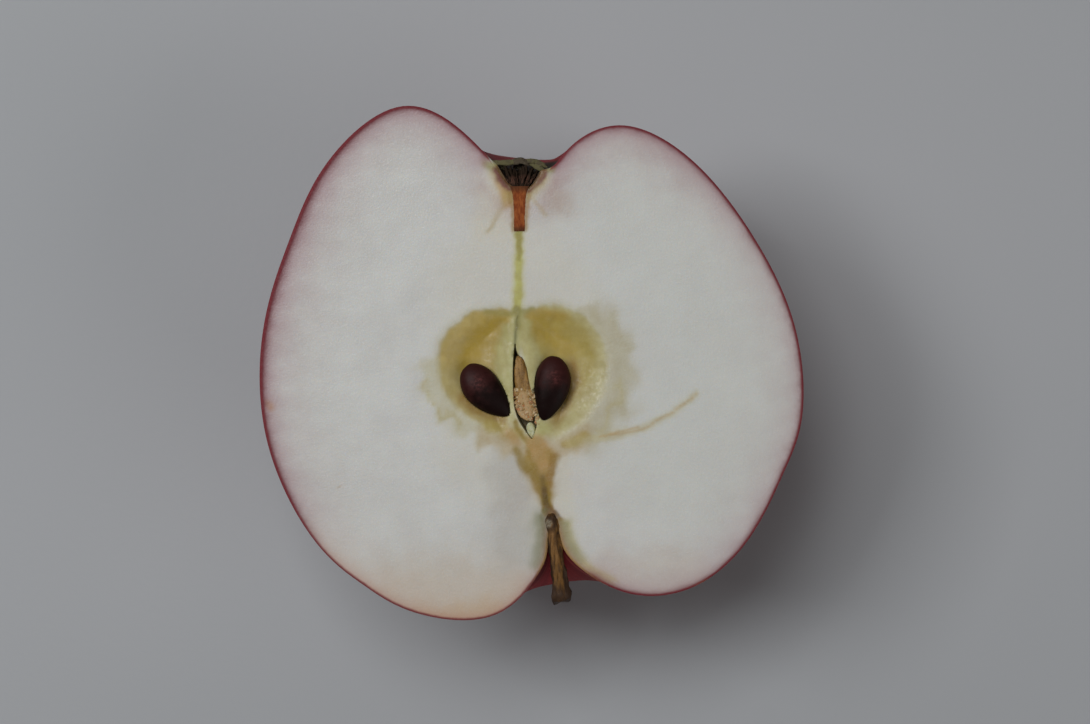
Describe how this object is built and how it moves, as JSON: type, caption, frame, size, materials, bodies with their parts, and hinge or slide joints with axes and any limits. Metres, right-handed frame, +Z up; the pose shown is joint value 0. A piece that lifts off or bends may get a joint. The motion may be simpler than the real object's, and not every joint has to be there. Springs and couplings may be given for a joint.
{
  "type": "apple half",
  "caption": "Half of a red apple cut lengthwise through the core, with pips, torn core husk, dried calyx and stem, lying on its round back with the cut face up.",
  "frame": {"origin": "on the table under the middle of the half's outline", "axes": "+Z up out of the cut face, +Y along the core towards the calyx, -Y towards the stem, +X across the cut"},
  "size_m": [0.0755, 0.0713, 0.037],
  "materials": {
    "flesh": "moist white flesh under a thin glossy red skin",
    "pip": "glossy dark brown seed coat",
    "unripe_pip": "pale, soft and slightly moist",
    "husk": "dry and crumbly",
    "style_tube": "dry, fibrous, orange brown",
    "dried_flower": "withered, matt, grey green to black",
    "bark": "ridged brown bark"
  },
  "bodies": {
    "root": {"apple_half": "flesh", "seed_left": "pip", "seed_right": "pip", "aborted_seed": "unripe_pip", "core_husk": "husk", "style_column": "style_tube", "calyx": "dried_flower", "stem": "bark"}
  },
  "joints": []
}
